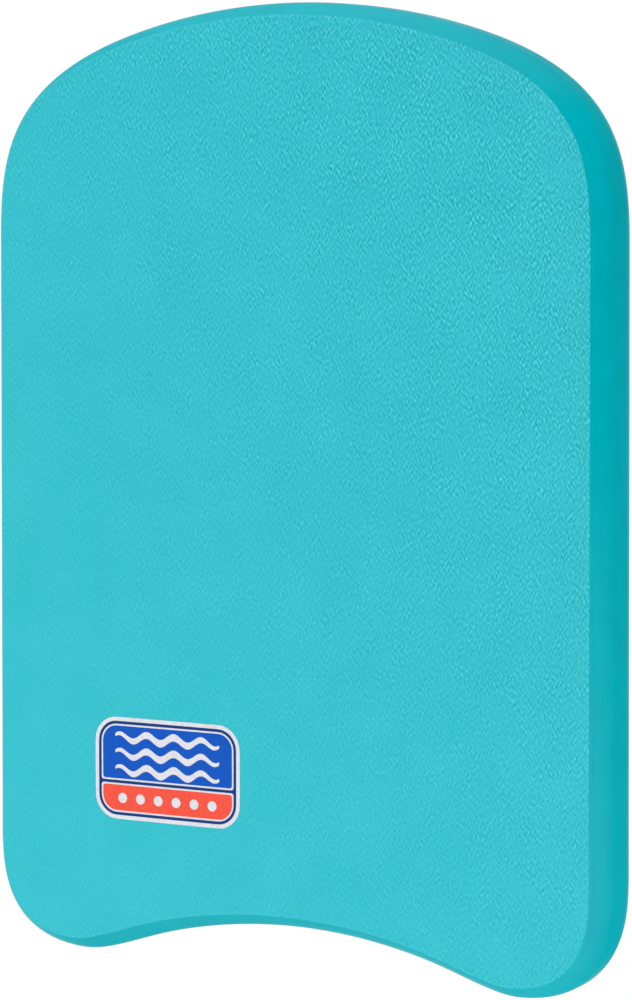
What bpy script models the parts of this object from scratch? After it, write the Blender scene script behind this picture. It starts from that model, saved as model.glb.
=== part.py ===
"""A swimmer's kickboard: a foam slab with a bowed, ground edge, a grained skin on each face and a print.

The board lies on its rear face with the origin at the middle of that face. +Z points out of the
front face, +Y to the rounded nose and +X to the board's right. Lengths are in metres.
"""

import math

import bmesh
import bpy
from mathutils import Vector
from mathutils.geometry import interpolate_bezier

# The slab.
LENGTH = 0.425
WIDTH = 0.305
THICKNESS = 0.039

# The nose: a broad arc, then a tighter curve on to each straight side.
NOSE_RADIUS = 0.280
NOSE_ARC_HALF_WIDTH = 0.066
NOSE_PULL = 0.081
SHOULDER_PULL = 0.045
SHOULDER_Y = 0.106
SHOULDER_TAPER = 0.002

# The tail: a rounded lobe on each side of a shallow notch.
HIP_Y = -0.163
HIP_PULL = 0.0435
LOBE_X = 0.1075
LOBE_OUTER_PULL = 0.017
LOBE_INNER_PULL = 0.010
NOTCH_DEPTH = 0.020
NOTCH_RADIUS = 0.253
NOTCH_ARC_HALF_WIDTH = 0.066
NOTCH_PULL = 0.0145

# The ground edge: upright at mid-thickness, bowing inwards to a crease at each face.
EDGE_BOW_AT_NOSE = 0.0059
EDGE_BOW_AT_TAIL = 0.0071
EDGE_UPRIGHT_HALF = 0.003

# The layers.
SKIN = 0.002
GLUE_GAP = 0.0003
INK = 0.0002

# The print: a rounded badge, navy lines round a blue field of waves and a coral field of dots.
BADGE_CENTRE = Vector((-0.059, -0.126))
BADGE_WIDTH = 0.074
BADGE_HEIGHT = 0.046
BADGE_CORNER = 0.011
WHITE_RIM = 0.0018
NAVY_LINE = 0.0013
FIELD_RIM = 0.0008
CORAL_TOP = -0.0068
FIELD_CORNER = 0.0012
WAVE_LENGTH = 0.0140
WAVE_COUNT = 4
WAVE_HEIGHT = 0.0016
WAVE_THICKNESS = 0.0034
WAVE_END_BLUNTNESS = 0.4
WAVE_ROWS_Y = (0.0141, 0.0067, -0.0007)
DOT_RADIUS = 0.0023
DOT_COUNT = 6
DOT_PITCH = 0.0092
DOT_Y = -0.0134

# How finely the curves are cut into straight steps, and where a mesh's shading breaks and welds.
CURVE_STEPS = 14
SIDE_STEPS = 12
EDGE_STEPS = 10
CORNER_STEPS = 8
WAVE_STEPS = 10
SHARP_ANGLE = math.radians(30)
WELD_DISTANCE = 1e-6


def clear_scene():
    for item in list(bpy.data.objects):
        bpy.data.objects.remove(item)


def new_collection(name):
    collection = bpy.data.collections.new(name)
    bpy.context.scene.collection.children.link(collection)
    return collection


def material(name, colour, roughness):
    """A Principled material with no metal in it. colour is linear red, green and blue."""
    made = bpy.data.materials.new(name)
    made.use_nodes = True
    shader = made.node_tree.nodes["Principled BSDF"]
    shader.inputs["Base Color"].default_value = (*colour, 1.0)
    shader.inputs["Roughness"].default_value = roughness
    shader.inputs["Metallic"].default_value = 0.0
    return made


def add_object(name, data, collection, surface=None):
    made = bpy.data.objects.new(name, data)
    if surface:
        data.materials.append(surface)
    collection.objects.link(made)
    return made


# ---- the board's outline


def arc(radius, top_y, half_width, steps):
    """Points on a circle whose highest point is (0, top_y), from x = 0 to x = half_width."""
    last = math.asin(half_width / radius)
    angles = [last * step / steps for step in range(steps + 1)]
    return [Vector((radius * math.sin(a), top_y - radius * (1 - math.cos(a)))) for a in angles]


def arc_end_direction(radius, half_width):
    """The way such an arc runs, outwards and down, where it ends."""
    slope = math.asin(half_width / radius)
    return Vector((math.cos(slope), -math.sin(slope)))


def half_outline():
    """The right half of the outline, from the nose's middle to the notch's middle."""
    nose_y = LENGTH / 2
    tail_y = -LENGTH / 2
    shoulder = Vector((WIDTH / 2 - SHOULDER_TAPER, SHOULDER_Y))
    hip = Vector((WIDTH / 2, HIP_Y))
    lobe = Vector((LOBE_X, tail_y))
    up = Vector((0, 1))
    right = Vector((1, 0))

    nose = arc(NOSE_RADIUS, nose_y, NOSE_ARC_HALF_WIDTH, CURVE_STEPS // 2)
    nose_pull = arc_end_direction(NOSE_RADIUS, NOSE_ARC_HALF_WIDTH) * NOSE_PULL
    notch = arc(NOTCH_RADIUS, tail_y + NOTCH_DEPTH, NOTCH_ARC_HALF_WIDTH, CURVE_STEPS // 2)[::-1]
    notch_pull = arc_end_direction(NOTCH_RADIUS, NOTCH_ARC_HALF_WIDTH) * NOTCH_PULL

    corner = interpolate_bezier(
        nose[-1], nose[-1] + nose_pull, shoulder + up * SHOULDER_PULL, shoulder, CURVE_STEPS
    )
    side = [shoulder.lerp(hip, step / SIDE_STEPS) for step in range(1, SIDE_STEPS)]
    outer_lobe = interpolate_bezier(
        hip, hip - up * HIP_PULL, lobe + right * LOBE_OUTER_PULL, lobe, CURVE_STEPS
    )
    inner_lobe = interpolate_bezier(
        lobe, lobe - right * LOBE_INNER_PULL, notch[0] + notch_pull, notch[0], CURVE_STEPS // 2
    )
    return nose + corner[1:] + side + outer_lobe + inner_lobe[1:] + notch[1:]


def edge_bow(y):
    """How far in the crease lies, which grows a little from the nose to the tail."""
    from_nose = 0.5 - y / LENGTH
    return EDGE_BOW_AT_NOSE + (EDGE_BOW_AT_TAIL - EDGE_BOW_AT_NOSE) * from_nose


def inset_outline(share):
    """The whole outline, clockwise from the nose, moved inwards by that share of the edge's bow."""
    right = half_outline()
    left = [Vector((-point.x, point.y)) for point in right[-2:0:-1]]
    points = right + left
    moved = []
    for index, point in enumerate(points):
        before = points[index - 1]
        after = points[(index + 1) % len(points)]
        along = (point - before).normalized() + (after - point).normalized()
        along.normalize()
        inwards = Vector((along.y, -along.x))
        moved.append(point + inwards * edge_bow(point.y) * share)
    return moved


def bow_share(z):
    """The share of its bow that the edge has come in by at height z above the rear face."""
    half = THICKNESS / 2
    beyond = max(0.0, abs(z - half) - EDGE_UPRIGHT_HALF)
    return (beyond / (half - EDGE_UPRIGHT_HALF)) ** 2


# ---- slabs lofted through the outline


def slab(name, low, high, steps, collection, surface):
    """The board's layer between heights low and high, closed by a flat face at each end."""
    mesh = bmesh.new()
    rings = []
    for step in range(steps + 1):
        z = low + (high - low) * step / steps
        verts = [mesh.verts.new((point.x, point.y, z)) for point in inset_outline(bow_share(z))]
        edges = [mesh.edges.new((verts[i - 1], verts[i])) for i in range(len(verts))]
        rings.append((verts, edges))
    for (_, lower), (_, upper) in zip(rings, rings[1:]):
        bmesh.ops.bridge_loops(mesh, edges=lower + upper)
    mesh.faces.new(rings[0][0])
    mesh.faces.new(rings[-1][0])
    bmesh.ops.recalc_face_normals(mesh, faces=mesh.faces)

    data = bpy.data.meshes.new(name)
    mesh.to_mesh(data)
    mesh.free()
    data.shade_smooth()
    data.set_sharp_from_angle(angle=SHARP_ANGLE)
    return add_object(name, data, collection, surface)


# ---- the print's flat films


def rounded_box(left, bottom, right, top, lower_radius, upper_radius):
    """A box's outline, anticlockwise from its lower right corner, with all its corners rounded."""
    corners = (
        (right - lower_radius, bottom + lower_radius, lower_radius, -90),
        (right - upper_radius, top - upper_radius, upper_radius, 0),
        (left + upper_radius, top - upper_radius, upper_radius, 90),
        (left + lower_radius, bottom + lower_radius, lower_radius, 180),
    )
    points = []
    for x, y, radius, start in corners:
        for step in range(CORNER_STEPS + 1):
            angle = math.radians(start + 90 * step / CORNER_STEPS)
            points.append(Vector((x + radius * math.cos(angle), y + radius * math.sin(angle))))
    return points


def badge_outline(inset):
    """The badge's rounded edge, moved inwards by inset."""
    half_width = BADGE_WIDTH / 2 - inset
    half_height = BADGE_HEIGHT / 2 - inset
    corner = BADGE_CORNER - inset
    return rounded_box(-half_width, -half_height, half_width, half_height, corner, corner)


def wave_line(centre_y):
    """A wavy stripe across the badge that thins to a rounded point at each end."""
    above = []
    below = []
    steps = WAVE_STEPS * WAVE_COUNT
    for step in range(1, steps):
        along = step / steps
        x = WAVE_LENGTH * WAVE_COUNT * (along - 0.5)
        middle = centre_y + WAVE_HEIGHT * math.sin(2 * math.pi * WAVE_COUNT * along)
        half = WAVE_THICKNESS / 2 * math.sin(math.pi * along) ** WAVE_END_BLUNTNESS
        above.append(Vector((x, middle + half)))
        below.append(Vector((x, middle - half)))
    return above + below[::-1]


def fields(inset):
    """The outlines of the badge's two windows, the wavy one over the dotted one, moved inwards."""
    right = BADGE_WIDTH / 2 - WHITE_RIM - NAVY_LINE - inset
    top = BADGE_HEIGHT / 2 - WHITE_RIM - NAVY_LINE - inset
    corner = BADGE_CORNER - WHITE_RIM - NAVY_LINE - inset
    bar_low = CORAL_TOP
    bar_high = CORAL_TOP + NAVY_LINE
    sea = rounded_box(-right, bar_high + inset, right, top, FIELD_CORNER, corner)
    shore = rounded_box(-right, -top, right, bar_low - inset, corner, FIELD_CORNER)
    return sea, shore


def dots():
    """The outlines of a row of dots across the coral field."""
    angles = [math.pi / CORNER_STEPS * step for step in range(2 * CORNER_STEPS)]
    row = []
    for number in range(DOT_COUNT):
        centre = Vector((DOT_PITCH * (number - (DOT_COUNT - 1) / 2), DOT_Y))
        row.append([centre + DOT_RADIUS * Vector((math.cos(a), math.sin(a))) for a in angles])
    return row


def film(name, outlines, low, thickness, collection, surface=None):
    """A flat piece at the badge, from a 2D curve whose first outline is its edge and the rest its holes."""
    curve = bpy.data.curves.new(name, "CURVE")
    curve.dimensions = "2D"
    curve.fill_mode = "BOTH"
    curve.extrude = thickness / 2
    for outline in outlines:
        spline = curve.splines.new("POLY")
        spline.points.add(len(outline) - 1)
        spline.use_cyclic_u = True
        for point, place in zip(spline.points, outline):
            point.co = (place.x, place.y, 0, 1)
    made = add_object(name, curve, collection, surface)
    made.location = (*BADGE_CENTRE, low + thickness / 2)
    return made


def meshed(curve_object):
    """The same object as a mesh with its caps welded on, so that it can be a Boolean's cutter."""
    bpy.context.view_layer.update()
    evaluated = curve_object.evaluated_get(bpy.context.evaluated_depsgraph_get())
    data = bpy.data.meshes.new_from_object(evaluated)
    mesh = bmesh.new()
    mesh.from_mesh(data)
    bmesh.ops.remove_doubles(mesh, verts=mesh.verts, dist=WELD_DISTANCE)
    bmesh.ops.recalc_face_normals(mesh, faces=mesh.faces)
    mesh.to_mesh(data)
    mesh.free()
    name = curve_object.name
    collection = curve_object.users_collection[0]
    place = curve_object.matrix_world.copy()
    bpy.data.objects.remove(curve_object)
    made = add_object(name, data, collection)
    made.matrix_world = place
    return made


# ---- the parts


def foam_core(parts):
    colour = material("core foam", (0.0, 0.37, 0.43), 0.75)
    low = SKIN + GLUE_GAP
    return slab("foam_core", low, THICKNESS - low, EDGE_STEPS, parts, colour)


def skins(parts, cutters):
    """The front skin has a shallow pocket that the heat of the print pressed into it."""
    colour = material("embossed skin", (0.04, 0.55, 0.62), 0.6)
    slab("rear_skin", 0, SKIN, 1, parts, colour)
    front = slab("front_skin", THICKNESS - SKIN, THICKNESS, 1, parts, colour)

    depth = 2 * (GLUE_GAP + INK)
    edge = badge_outline(-GLUE_GAP)
    pocket = meshed(film("badge_pocket", [edge], THICKNESS - depth, 2 * depth, cutters))
    pocket.hide_render = True
    pocket.display_type = "WIRE"
    cut = front.modifiers.new("badge pocket", "BOOLEAN")
    cut.operation = "DIFFERENCE"
    cut.object = pocket


def badge(parts):
    """A white backing film with three ink films on it, the inks level with the front face."""
    white = material("white backing", (0.85, 0.87, 0.87), 0.35)
    blue = material("blue ink", (0.003, 0.115, 0.58), 0.35)
    navy = material("navy ink", (0.007, 0.06, 0.22), 0.35)
    coral = material("coral ink", (1.0, 0.115, 0.07), 0.35)

    ink_low = THICKNESS - INK
    backing_low = ink_low - GLUE_GAP - INK
    sea, shore = fields(FIELD_RIM)
    waves = [wave_line(row_y) for row_y in WAVE_ROWS_Y]

    film("decal_white_base", [badge_outline(0)], backing_low, INK, parts, white)
    film("decal_navy_ink", [badge_outline(WHITE_RIM), *fields(0)], ink_low, INK, parts, navy)
    film("decal_blue_ink", [sea, *waves], ink_low, INK, parts, blue)
    film("decal_coral_ink", [shore, *dots()], ink_low, INK, parts, coral)


def main():
    clear_scene()
    parts = new_collection("kickboard")
    cutters = new_collection("cutters")
    foam_core(parts)
    skins(parts, cutters)
    badge(parts)


main()
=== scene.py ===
"""The look of a swimmer's kickboard: teal foam, grained on its faces and ground at its edge, with a print.

The board lies on its rear face with the origin at the middle of that face. +Z points out of the
front face, +Y to the nose. Lengths are in metres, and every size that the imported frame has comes
from it.
"""

import math

import bmesh
import bpy
from mathutils import Matrix, Vector, noise
from mathutils.geometry import delaunay_2d_cdt, interpolate_bezier
from mathutils.kdtree import KDTree


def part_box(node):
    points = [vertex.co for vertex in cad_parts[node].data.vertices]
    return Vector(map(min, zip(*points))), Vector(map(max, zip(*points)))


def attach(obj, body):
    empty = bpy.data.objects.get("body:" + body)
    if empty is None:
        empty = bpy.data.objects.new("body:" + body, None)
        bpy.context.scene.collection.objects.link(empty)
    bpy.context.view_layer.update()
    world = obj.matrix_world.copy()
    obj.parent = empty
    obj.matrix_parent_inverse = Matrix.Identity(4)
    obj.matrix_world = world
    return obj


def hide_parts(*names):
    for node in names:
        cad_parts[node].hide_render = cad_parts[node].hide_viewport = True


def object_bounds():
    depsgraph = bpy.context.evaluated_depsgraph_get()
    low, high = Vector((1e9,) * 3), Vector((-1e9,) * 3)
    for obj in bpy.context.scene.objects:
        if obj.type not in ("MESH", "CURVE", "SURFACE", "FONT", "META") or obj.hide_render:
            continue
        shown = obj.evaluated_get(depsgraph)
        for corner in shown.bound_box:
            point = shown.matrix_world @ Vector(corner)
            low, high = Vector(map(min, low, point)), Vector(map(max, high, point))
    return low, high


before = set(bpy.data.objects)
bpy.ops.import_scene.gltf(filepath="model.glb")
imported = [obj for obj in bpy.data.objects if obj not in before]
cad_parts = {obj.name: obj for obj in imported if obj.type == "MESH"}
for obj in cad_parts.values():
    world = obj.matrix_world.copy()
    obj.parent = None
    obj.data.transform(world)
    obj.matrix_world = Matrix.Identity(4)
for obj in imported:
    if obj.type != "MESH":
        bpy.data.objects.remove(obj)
cad_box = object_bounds()

# The slab, as the frame has it.
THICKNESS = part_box("front_skin")[1].z
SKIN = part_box("rear_skin")[1].z
MIDDLE = THICKNESS / 2
PRINT_LOW, PRINT_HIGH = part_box("decal_white_base")
UPRIGHT_HALF = 0.003

# Fine shape that the frame leaves out.
FILM = 0.00004
SEAM = 0.00002
CREASE_ROUNDING = 0.0004
LIP_WIDTH = 0.0011
LIP_HEIGHT = 0.00013
# The share of painted highlight on the lip along the crease.
LIP_HIGHLIGHT = 0.3
BOW = 0.0065
RELIEF = 0.00006
RELIEF_MIDDLE = 0.65
SWELL_SHARE = 0.45
SWELL_SCALE = 30
PEBBLE_SHARE = 0.20
PEBBLE_SCALE = 150
EDGE_WAVE = 0.008
EDGE_WAVE_SCALE = Vector((22, 22, 160))
PRINT_FADE = 0.015

# How far below the top of the lip the print's layers lie. The inks reach up to it.
INK_DEPTH = 0.9 * FILM
BACKING_TOP_DEPTH = FILM
BACKING_DEPTH = LIP_HEIGHT + 5 * FILM

# Mesh spacings.
RING_SPACING = 0.002
FACE_SPACING = 0.002
FILM_SPACING = 0.0004
EDGE_LEVELS = 40
SKIN_LEVELS = 6
ROUNDING_LEVELS = 6
LIP_LEVELS = 5
RING_CLEARANCE = 0.6 * FACE_SPACING

# How meshes are read and finished. A normal whose z is past FLAT_NORMAL belongs to a flat end.
WELD = 1e-6
SAME_LEVEL = 1e-5
FLAT_NORMAL = 0.9
FOAM_SHARP_ANGLE = math.radians(40)
PRINT_SHARP_ANGLE = math.radians(30)

# Foam and ink colours, linear.
# The skin's two tones are painted light: the paler one is a painted highlight on the grain's ridges, the
# darker one painted shade in its valleys.
TEAL_RIDGE_HIGHLIT = (0.106, 0.760, 0.855)
TEAL_VALLEY_SHADED = (0.004, 0.430, 0.505)
CORE_TEAL = (0.0, 0.500, 0.580)
CORE_TEAL_DEEP = (0.0, 0.455, 0.530)
# A red tint added to the edge's colour at the nose and tail: a painted reflection haze.
HAZE_TINT = (0.032, 0.0, 0.0)
WHITE = (0.78, 0.77, 0.83)
BLUE = (0.001, 0.095, 0.55)
NAVY = (0.004, 0.045, 0.20)
CORAL = (0.95, 0.095, 0.055)
THIN_INK = 0.9
BACKING_ROUGHNESS = 0.4
INK_ROUGHNESS = 0.35

# The embossed grain: the noise it is made of, the offsets it is sharpened over, its depth, and how
# far its tones lean to the valleys' colour. Its tones are painted light: a painted highlight on the
# ridges and painted shade in the valleys.
GRAIN_SCALE = 1150
GRAIN_STRETCH = (1.0, 0.7, 1.0)
GRAIN_TURN = (0.7, 0.5, 0.4)
GRAIN_STEPS = ((0.0009, 0, 0), (-0.0009, 0, 0), (0, 0.0016, 0), (0, -0.0016, 0))
GRAIN_BODY = 0.8
GRAIN_REACH = 1.6
GRAIN_DEPTH = 0.00018
GRAIN_DEPTH_IN_INK = 0.00003
GRAIN_SKEW = 1.8

# How strongly the grain stands out: its rise from the tail's left corner to the nose's right corner,
# over x plus a share of y. It deepens the grain's bumps and strengthens its painted shade and highlight.
GRAIN_RISE_SLANT = 0.7
GRAIN_RISE_FROM = -0.21
GRAIN_RISE_TO = 0.19
GRAIN_RISE_CURVE = 1.5
GRAIN_RISE_LEAST = 0.23

# The grinding marks run along the edge, so the noise they are made of is stretched along it.
STREAK_STRETCH = (0.02, 0.02, 1.0)

# The light: that from all round, that from the floor, and softboxes by name, place, size and radiance.
WORLD_LIGHT = 0.29
FLOOR_LIGHT = 0.54
SOFTBOXES = (
    ("key_light", (-3.6, 0.6, 1.7), 1.6, 2.8),
    ("tail_light", (0.95, -0.65, 0.30), 0.5, 6.2),
    ("nose_light", (0.2, 3.2, 0.9), 2.0, 3.1),
    ("foot_light", (-0.9, -1.3, 1.3), 1.0, 5.5),
    ("high_light", (0.1, 1.6, 2.6), 1.5, 4.4),
)
FLOOR_SIZE = 60
FLOOR_GAP = 0.0002

# The camera, which looks down on the board from its right.
CAMERA_PLACE = Vector((0.7910, 0.1528, 1.4798))
CAMERA_TARGET = Vector((0.0056, -0.0034, 0.0195))
CAMERA_LENS = 137.15


# ---- outlines, taken from the frame's meshes and made smooth


def loops_at(node, height):
    """The closed outlines that a CAD node's mesh has at that height, as lists of flat points."""
    mesh = bmesh.new()
    mesh.from_mesh(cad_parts[node].data)
    bmesh.ops.remove_doubles(mesh, verts=mesh.verts, dist=WELD)
    mesh.verts.index_update()
    neighbours = {}
    for edge in mesh.edges:
        on_level = all(abs(vert.co.z - height) < SAME_LEVEL for vert in edge.verts)
        on_side = any(abs(face.normal.z) < FLAT_NORMAL for face in edge.link_faces)
        if on_level and on_side:
            first, second = edge.verts
            neighbours.setdefault(first, []).append(second)
            neighbours.setdefault(second, []).append(first)
    loops = []
    left = dict(neighbours)
    while left:
        here = min(left, key=lambda vert: vert.index)
        loop = []
        while here is not None:
            loop.append(here.co.xy)
            ahead = [vert for vert in left.pop(here) if vert in left]
            here = ahead[0] if ahead else None
        loops.append(loop)
    mesh.free()
    return loops


def from_nose(loop):
    """The same closed outline, anticlockwise and starting at its furthest point along +Y."""
    area = sum(loop[i - 1].cross(loop[i]) for i in range(len(loop)))
    if area < 0:
        loop = loop[::-1]
    start = max(range(len(loop)), key=lambda index: loop[index].y)
    return loop[start:] + loop[:start]


def steps_between(points, spacing):
    ends = points[1:] + points[:1]
    return [max(1, round((end - start).length / spacing)) for start, end in zip(points, ends)]


def heading(before, here, after):
    """The direction, at the middle one of three points, of the circle through them."""
    back = here - before
    ahead = after - here
    return (back * ahead.length / back.length + ahead * back.length / ahead.length).normalized()


def smooth(points, steps):
    """A closed curve through the points, with steps[i] steps from point i to the next."""
    count = len(points)
    pulls = []
    for index, here in enumerate(points):
        before = points[index - 1]
        after = points[(index + 1) % count]
        reach = min((here - before).length, (after - here).length) / 3
        pulls.append(heading(before, here, after) * reach)
    curve = []
    for index, start in enumerate(points):
        after = (index + 1) % count
        end = points[after]
        handles = (start + pulls[index], end - pulls[after])
        stretch = interpolate_bezier(start, *handles, end, steps[index] + 1)
        curve.extend(stretch[:-1])
    return curve


def edge_rings():
    """The board's outline where it is widest, just under mid-thickness, and at each face's crease."""
    heights = {vert.co.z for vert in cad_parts["foam_core"].data.vertices}
    below_middle = max(height for height in heights if height < MIDDLE - SAME_LEVEL)
    widest = from_nose(loops_at("foam_core", below_middle)[0])
    crease = from_nose(loops_at("rear_skin", 0.0)[0])
    steps = steps_between(widest, RING_SPACING)
    return smooth(widest, steps), smooth(crease, steps)


# ---- the slab's layers


def bow_share(height):
    """How far in the edge lies at a height above or below mid-thickness, as a share of its bow."""
    beyond = max(0.0, abs(height) - UPRIGHT_HALF)
    return (beyond / (MIDDLE - UPRIGHT_HALF)) ** 2


def edge_wave(x, y, height):
    """The slight waviness that grinding leaves, as a share of the edge's bow."""
    place = Vector((x, y, height)) * EDGE_WAVE_SCALE
    return EDGE_WAVE * (noise.noise(place) + 1)


def ring_at(rings, share, height):
    """The board's outline at a share of its bow and a height from mid-thickness."""
    points = []
    for wide, narrow in zip(*rings):
        rough = share + edge_wave(wide.x, wide.y, height)
        place = wide.lerp(narrow, rough)
        points.append(Vector((place.x, place.y, height)))
    return points


def ease(along):
    """A smooth step from 0 to 1 as along goes from 0 to 1."""
    return along * along * (3 - 2 * along)


def face_relief(x, y):
    """How far the face dips below its plane: slow swells, and a finer unevenness on them."""
    swell = noise.noise(Vector((x, y, 0)) * SWELL_SCALE)
    pebble = noise.noise(Vector((x, y, 0)) * PEBBLE_SCALE)
    return RELIEF * (RELIEF_MIDDLE + SWELL_SHARE * swell + PEBBLE_SHARE * pebble)


def near_print(x, y):
    """1 under the print and fading to 0 a little way round it."""
    beyond_x = max(PRINT_LOW.x - x, x - PRINT_HIGH.x, 0.0)
    beyond_y = max(PRINT_LOW.y - y, y - PRINT_HIGH.y, 0.0)
    away = min(1.0, math.hypot(beyond_x, beyond_y) / PRINT_FADE)
    return 1 - ease(away)


def lay_rings(mesh, rings):
    """Lofts a surface through rings of equal length and returns each ring's vertices."""
    loops = []
    for ring in rings:
        loops.append([mesh.verts.new(point) for point in ring])
    for lower, upper in zip(loops, loops[1:]):
        for index in range(len(lower)):
            mesh.faces.new((lower[index - 1], lower[index], upper[index], upper[index - 1]))
    return loops


def fill_face(mesh, ring):
    """Fills a ring with even triangles."""
    tree = KDTree(len(ring))
    for index, point in enumerate(ring):
        tree.insert((point.x, point.y, 0), index)
    tree.balance()
    points = [point.xy for point in ring]
    edges = [(index - 1, index) for index in range(1, len(ring))] + [(len(ring) - 1, 0)]
    low, high = cad_box
    row_height = FACE_SPACING * math.sqrt(3) / 2
    for row in range(int((high[1] - low[1]) / row_height)):
        y = low[1] + row * row_height
        shift = FACE_SPACING / 2 * (row % 2)
        for column in range(int((high[0] - low[0]) / FACE_SPACING)):
            x = low[0] + shift + column * FACE_SPACING
            if tree.find((x, y, 0))[2] > RING_CLEARANCE:
                points.append(Vector((x, y)))
    inside = 1
    places, _, faces, _, _, _ = delaunay_2d_cdt(points, edges, [], inside, WELD)
    height = ring[0].z
    verts = {}
    for face in faces:
        for index in face:
            if index not in verts:
                verts[index] = mesh.verts.new((*places[index], height))
        mesh.faces.new([verts[index] for index in face])


def finish_mesh(name, mesh, sharp_angle, *materials):
    bmesh.ops.remove_doubles(mesh, verts=mesh.verts, dist=WELD)
    bmesh.ops.recalc_face_normals(mesh, faces=mesh.faces)
    data = bpy.data.meshes.new(name)
    mesh.to_mesh(data)
    mesh.free()
    data.shade_smooth()
    data.set_sharp_from_angle(angle=sharp_angle)
    for material in materials:
        data.materials.append(material)
    made = bpy.data.objects.new(name, data)
    bpy.context.scene.collection.objects.link(made)
    return made


def skin(name, rings, side, embossed, ground):
    """A grained skin: its ground edge, the slight lip at its crease and its uneven face."""
    face = MIDDLE - LIP_HEIGHT
    base = MIDDLE - SKIN + SEAM
    turn = face - CREASE_ROUNDING
    profile = []
    for step in range(SKIN_LEVELS):
        height = base + (turn - base) * step / SKIN_LEVELS
        profile.append((bow_share(height), height))
    start = Vector((bow_share(turn), turn))
    corner = Vector((bow_share(MIDDLE), MIDDLE))
    end = Vector((bow_share(MIDDLE) + CREASE_ROUNDING / BOW, MIDDLE))
    for step in range(ROUNDING_LEVELS):
        along = step / ROUNDING_LEVELS
        profile.append(start.lerp(corner, along).lerp(corner.lerp(end, along), along))
    for step in range(LIP_LEVELS + 1):
        along = step / LIP_LEVELS
        height = MIDDLE + (face - MIDDLE) * ease(along)
        profile.append((end.x + LIP_WIDTH / BOW * along, height))

    mesh = bmesh.new()
    loops = lay_rings(mesh, [ring_at(rings, share, height) for share, height in profile])
    mesh.faces.new(loops[0])
    fill_face(mesh, [vert.co.copy() for vert in loops[-1]])
    grain_low = face - CREASE_ROUNDING / 2
    for patch in mesh.faces:
        patch.material_index = int(patch.calc_center_median().z < grain_low)
    for vert in mesh.verts:
        top = min(1.0, max(0.0, (vert.co.z - turn) / (face - turn)))
        dip = face_relief(vert.co.x, vert.co.y) * (1 - near_print(vert.co.x, vert.co.y))
        vert.co.z = MIDDLE + side * (vert.co.z - top * dip)
    return finish_mesh(name, mesh, FOAM_SHARP_ANGLE, embossed, ground)


def core(name, rings, material):
    """The foam between the skins, whose edge shows all round."""
    reach = MIDDLE - SKIN - SEAM
    heights = [reach * (2 * step / EDGE_LEVELS - 1) for step in range(EDGE_LEVELS + 1)]
    mesh = bmesh.new()
    loops = lay_rings(mesh, [ring_at(rings, bow_share(height), height) for height in heights])
    mesh.faces.new(loops[0])
    mesh.faces.new(loops[-1])
    bmesh.ops.translate(mesh, verts=mesh.verts, vec=(0, 0, MIDDLE))
    return finish_mesh(name, mesh, FOAM_SHARP_ANGLE, material)


# ---- the print


def print_film(name, node, low, high, material):
    """A printed film: a CAD film's outlines, smooth, from height low to high."""
    curve = bpy.data.curves.new(name, "CURVE")
    curve.dimensions = "2D"
    curve.fill_mode = "BOTH"
    curve.extrude = (high - low) / 2
    for loop in loops_at(node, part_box(node)[1].z):
        points = smooth(loop, steps_between(loop, FILM_SPACING))
        spline = curve.splines.new("POLY")
        spline.points.add(len(points) - 1)
        spline.use_cyclic_u = True
        for point, place in zip(spline.points, points):
            point.co = (place.x, place.y, 0, 1)
    drawn = bpy.data.objects.new(name, curve)
    bpy.context.scene.collection.objects.link(drawn)
    drawn.location.z = (low + high) / 2
    bpy.context.view_layer.update()
    shown = drawn.evaluated_get(bpy.context.evaluated_depsgraph_get())
    mesh = bmesh.new()
    mesh.from_mesh(bpy.data.meshes.new_from_object(shown))
    mesh.transform(drawn.matrix_world)
    bpy.data.objects.remove(drawn)
    return finish_mesh(name, mesh, PRINT_SHARP_ANGLE, material)


# ---- materials


def feed(tree, socket, value):
    if isinstance(value, bpy.types.NodeSocket):
        tree.links.new(value, socket)
    else:
        socket.default_value = value


def node(tree, kind, sockets=None, **settings):
    """A new node. sockets gives its inputs, each a value or another node's output."""
    made = tree.nodes.new(kind)
    for name, value in settings.items():
        setattr(made, name, value)
    for name, value in (sockets or {}).items():
        feed(tree, made.inputs[name], value)
    return made


def new_material(name, specular):
    """A material, its node tree and its shader, which reflects as strongly as specular says."""
    made = bpy.data.materials.new(name)
    made.use_nodes = True
    shader = made.node_tree.nodes["Principled BSDF"]
    shader.inputs["Specular IOR Level"].default_value = specular
    return made, made.node_tree, shader


def object_place(tree):
    return node(tree, "ShaderNodeTexCoord").outputs["Object"]


def fractal(tree, place, scale, detail):
    sockets = {"Vector": place, "Scale": scale, "Detail": detail}
    return node(tree, "ShaderNodeTexNoise", sockets).outputs["Fac"]


def calculate(tree, operation, first, second):
    return node(tree, "ShaderNodeMath", {0: first, 1: second}, operation=operation).outputs[0]


def between(tree, value, low, high, to_low, to_high):
    """value's range low to high, spread over to_low to to_high, and held there."""
    sockets = {
        "Value": value,
        "From Min": low,
        "From Max": high,
        "To Min": to_low,
        "To Max": to_high,
    }
    return node(tree, "ShaderNodeMapRange", sockets).outputs["Result"]


def two_tones(tree, factor, dark, light):
    ramp = node(tree, "ShaderNodeValToRGB", {"Fac": factor})
    ramp.color_ramp.elements[0].color = (*dark, 1)
    ramp.color_ramp.elements[1].color = (*light, 1)
    return ramp.outputs["Color"]


def bumped(tree, height, depth, under=None):
    """The surface's direction once bumped, on top of the finer bumps of under."""
    sockets = {"Height": height, "Distance": depth}
    if under:
        sockets["Normal"] = under
    return node(tree, "ShaderNodeBump", sockets).outputs["Normal"]


def grain(tree):
    """Height of the embossed grain, about -1 to 1: fine ridges, a little longer than wide."""
    place = object_place(tree)
    height = calculate(tree, "MULTIPLY", ridges(tree, place), len(GRAIN_STEPS) + GRAIN_BODY)
    for step in GRAIN_STEPS:
        beside = node(tree, "ShaderNodeVectorMath", {0: place, 1: step}, operation="ADD")
        height = calculate(tree, "SUBTRACT", height, ridges(tree, beside.outputs["Vector"]))
    middle = GRAIN_BODY / 2
    return between(tree, height, middle - GRAIN_REACH, middle + GRAIN_REACH, -1, 1)


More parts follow.
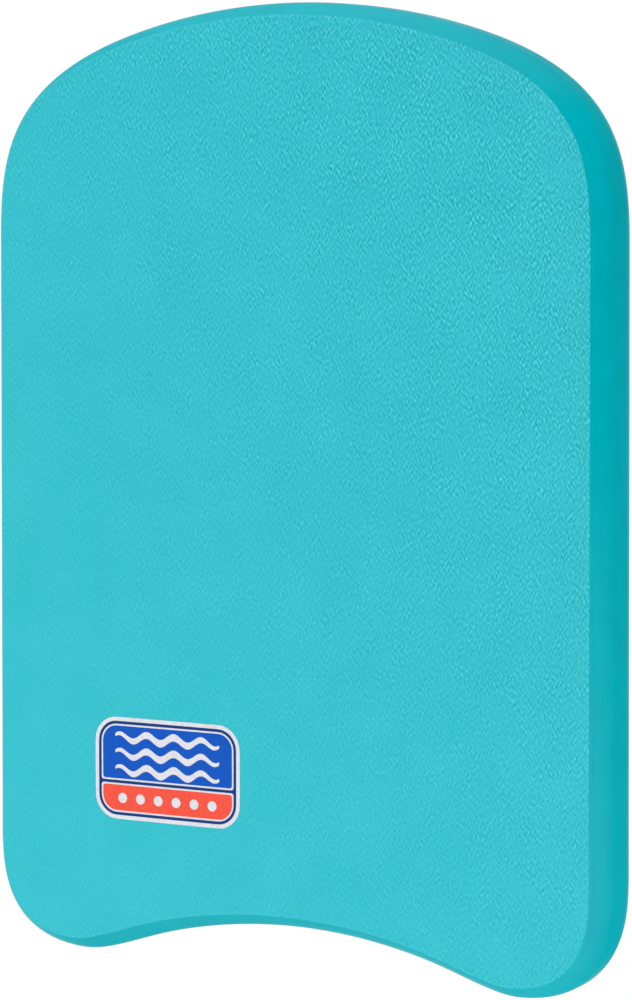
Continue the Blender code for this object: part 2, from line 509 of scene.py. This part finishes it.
def ridges(tree, place):
    """Noise cut on a slant, so that its cells do not line up with the board."""
    sockets = {"Vector": place, "Scale": GRAIN_STRETCH, "Rotation": GRAIN_TURN}
    slanted = node(tree, "ShaderNodeMapping", sockets)
    return fractal(tree, slanted.outputs["Vector"], GRAIN_SCALE, detail=1.0)


def crispness(tree):
    """How strongly the grain stands out, most at the nose's right corner and in patches: it deepens the
    bumps and strengthens the painted shade and highlight.
    """
    place = object_place(tree)
    split = node(tree, "ShaderNodeSeparateXYZ", {0: place})
    lengthwise = calculate(tree, "MULTIPLY", split.outputs["Y"], GRAIN_RISE_SLANT)
    across = calculate(tree, "ADD", split.outputs["X"], lengthwise)
    rise = calculate(tree, "POWER", between(tree, across, GRAIN_RISE_FROM, GRAIN_RISE_TO, 0, 1), GRAIN_RISE_CURVE)
    grain_strength = between(tree, rise, 0, 1, GRAIN_RISE_LEAST, 1.0)
    patches = fractal(tree, place, 120, detail=1.0)
    return calculate(tree, "MULTIPLY", grain_strength, between(tree, patches, 0.35, 0.65, 0.7, 1.3))


def off_middle(tree):
    """How far a point is above or below mid-thickness."""
    split = node(tree, "ShaderNodeSeparateXYZ", {0: object_place(tree)})
    above = calculate(tree, "SUBTRACT", split.outputs["Z"], MIDDLE)
    return calculate(tree, "ABSOLUTE", above, 0)


def lip_highlight(tree):
    """How much a painted highlight lightens the raised lip along the crease: 0 on the face, up to the
    lip's full share on the lip.
    """
    low, high = MIDDLE - 0.8 * LIP_HEIGHT, MIDDLE - 0.2 * LIP_HEIGHT
    return between(tree, off_middle(tree), low, high, 0.0, LIP_HIGHLIGHT)


def painted_haze(tree):
    """How much painted reflection haze the ground edge gets: all over at the nose, and beside the creases
    at the tail.
    """
    split = node(tree, "ShaderNodeSeparateXYZ", {0: object_place(tree)})
    nose = between(tree, split.outputs["Y"], 0.165, 0.205, 0.0, 1.0)
    tail = between(tree, split.outputs["Y"], -0.14, 0.03, 1.0, 0.0)
    beside_crease = between(tree, off_middle(tree), 0.006, 0.016, 0.1, 0.65)
    return calculate(tree, "ADD", nose, calculate(tree, "MULTIPLY", tail, beside_crease))


def skin_material(name):
    """Embossed skin whose colour holds painted light: a painted highlight on the ridges and painted shade
    in the valleys between them.
    """
    made, tree, shader = new_material(name, 0.15)
    place = object_place(tree)
    grain_strength = crispness(tree)
    height = calculate(tree, "MULTIPLY", grain(tree), grain_strength)
    mottle = fractal(tree, place, 40, detail=3.0)
    tone = calculate(tree, "ADD", height, between(tree, mottle, 0.3, 0.7, -0.07, 0.07))
    # A painted highlight on the lip along the crease, strongest where the grain stands out most.
    tone = calculate(tree, "ADD", tone, calculate(tree, "MULTIPLY", lip_highlight(tree), grain_strength))
    spread = calculate(tree, "POWER", between(tree, tone, -1, 1, 0, 1), GRAIN_SKEW)
    # The grain's height picks between painted shade in the valleys and a painted highlight on the ridges.
    feed(tree, shader.inputs["Base Color"], two_tones(tree, spread, TEAL_VALLEY_SHADED, TEAL_RIDGE_HIGHLIT))
    feed(tree, shader.inputs["Roughness"], between(tree, height, -1, 1, 0.58, 0.46))
    pores = fractal(tree, place, 3500, detail=1.0)
    fine = bumped(tree, pores, 0.00001)
    feed(tree, shader.inputs["Normal"], bumped(tree, height, GRAIN_DEPTH, fine))
    return made


def core_material(name):
    """Ground closed-cell foam: streaks along the edge, cut cells, a soft sheen, and a painted reflection
    haze at the nose and tail.
    """
    made, tree, shader = new_material(name, 0.0)
    shader.inputs["Sheen Weight"].default_value = 0.5
    shader.inputs["Sheen Roughness"].default_value = 0.2
    place = object_place(tree)
    along_edge = node(tree, "ShaderNodeMapping", {"Vector": place, "Scale": STREAK_STRETCH})
    streaks = fractal(tree, along_edge.outputs["Vector"], 1500, detail=3.0)
    cells = fractal(tree, place, 2600, detail=1.0)
    mottle = fractal(tree, place, 60, detail=2.0)
    tone = calculate(tree, "ADD", streaks, mottle)
    spread = between(tree, tone, 0.7, 1.3, 0.0, 1.0)
    plain = two_tones(tree, spread, CORE_TEAL_DEEP, CORE_TEAL)
    # Painted reflection: a red haze added to the edge's colour.
    hazed = {0: painted_haze(tree), 1: HAZE_TINT, 2: plain}
    colour = node(tree, "ShaderNodeVectorMath", hazed, operation="MULTIPLY_ADD")
    feed(tree, shader.inputs["Base Color"], colour.outputs["Vector"])
    feed(tree, shader.inputs["Roughness"], between(tree, cells, 0.3, 0.7, 0.7, 0.55))
    fine = bumped(tree, cells, 0.00002)
    feed(tree, shader.inputs["Normal"], bumped(tree, streaks, 0.00003, fine))
    return made


def ink_material(name, colour, roughness):
    """Screen ink, with the foam's grain showing faintly through it and slightly uneven cover."""
    made, tree, shader = new_material(name, 0.15)
    cover = fractal(tree, object_place(tree), 600, detail=2.0)
    thin = tuple(channel * THIN_INK for channel in colour)
    spread = between(tree, cover, 0.3, 0.6, 0.0, 1.0)
    feed(tree, shader.inputs["Base Color"], two_tones(tree, spread, thin, colour))
    feed(tree, shader.inputs["Roughness"], between(tree, cover, 0.3, 0.7, roughness + 0.1, roughness))
    feed(tree, shader.inputs["Normal"], bumped(tree, grain(tree), GRAIN_DEPTH_IN_INK))
    return made


# ---- the studio


def soft_world():
    """Faint even light from all round, which the camera sees as plain white."""
    world = bpy.data.worlds.new("soft_world")
    bpy.context.scene.world = world
    world.use_nodes = True
    tree = world.node_tree
    seen = node(tree, "ShaderNodeLightPath").outputs["Is Camera Ray"]
    feed(tree, tree.nodes["Background"].inputs["Color"], (1, 1, 1, 1))
    strength = between(tree, seen, 0, 1, WORLD_LIGHT, 1.0)
    feed(tree, tree.nodes["Background"].inputs["Strength"], strength)


def softbox(name, place, size, radiance):
    """A square light that faces the board."""
    light = bpy.data.lights.new(name, "AREA")
    light.shape = "SQUARE"
    light.size = size
    light.energy = radiance * math.pi * size * size
    made = bpy.data.objects.new(name, light)
    made.location = place
    made.rotation_euler = (-Vector(place)).to_track_quat("-Z", "Y").to_euler()
    made.visible_camera = False
    bpy.context.scene.collection.objects.link(made)


def floor():
    """A floor that the camera sees as an even white, as a light table is, with no shadow on it."""
    made, tree, shader = new_material("floor", 0.0)
    shader.inputs["Base Color"].default_value = (0, 0, 0, 1)
    shader.inputs["Emission Color"].default_value = (1, 1, 1, 1)
    seen = node(tree, "ShaderNodeLightPath").outputs["Is Camera Ray"]
    feed(tree, shader.inputs["Emission Strength"], between(tree, seen, 0, 1, FLOOR_LIGHT, 1.0))
    bpy.ops.mesh.primitive_plane_add(size=FLOOR_SIZE, location=(0, 0, -FLOOR_GAP))
    plane = bpy.context.object
    plane.name = "floor"
    plane.data.materials.append(made)


def camera():
    data = bpy.data.cameras.new("camera")
    data.lens = CAMERA_LENS
    data.clip_start = 0.01
    data.clip_end = 200
    made = bpy.data.objects.new("camera", data)
    forward = (CAMERA_TARGET - CAMERA_PLACE).normalized()
    right = forward.cross(Vector((0, 1, 0))).normalized()
    up = right.cross(forward)
    turn = Matrix((right, up, -forward)).transposed()
    made.matrix_world = Matrix.Translation(CAMERA_PLACE) @ turn.to_4x4()
    bpy.context.scene.collection.objects.link(made)
    bpy.context.scene.camera = made


# ---- the whole


def show(piece, replaced):
    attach(piece, "root")
    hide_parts(replaced)


def main():
    rings = edge_rings()
    embossed = skin_material("embossed_foam")
    ground = core_material("ground_foam")
    show(core("core_edge", rings, ground), "foam_core")
    show(skin("front_face", rings, 1, embossed, ground), "front_skin")
    show(skin("rear_face", rings, -1, embossed, ground), "rear_skin")

    white = ink_material("white_backing", WHITE, BACKING_ROUGHNESS)
    low, high = THICKNESS - BACKING_DEPTH, THICKNESS - BACKING_TOP_DEPTH
    backing = print_film("print_backing", "decal_white_base", low, high, white)
    show(backing, "decal_white_base")
    for name, colour in (("blue", BLUE), ("navy", NAVY), ("coral", CORAL)):
        cad_name = f"decal_{name}_ink"
        ink = ink_material(name, colour, INK_ROUGHNESS)
        film = print_film(f"print_{name}", cad_name, THICKNESS - INK_DEPTH, THICKNESS, ink)
        show(film, cad_name)

    soft_world()
    for name, place, size, radiance in SOFTBOXES:
        softbox(name, place, size, radiance)
    floor()
    camera()
    bpy.context.scene.view_settings.view_transform = "Standard"


main()
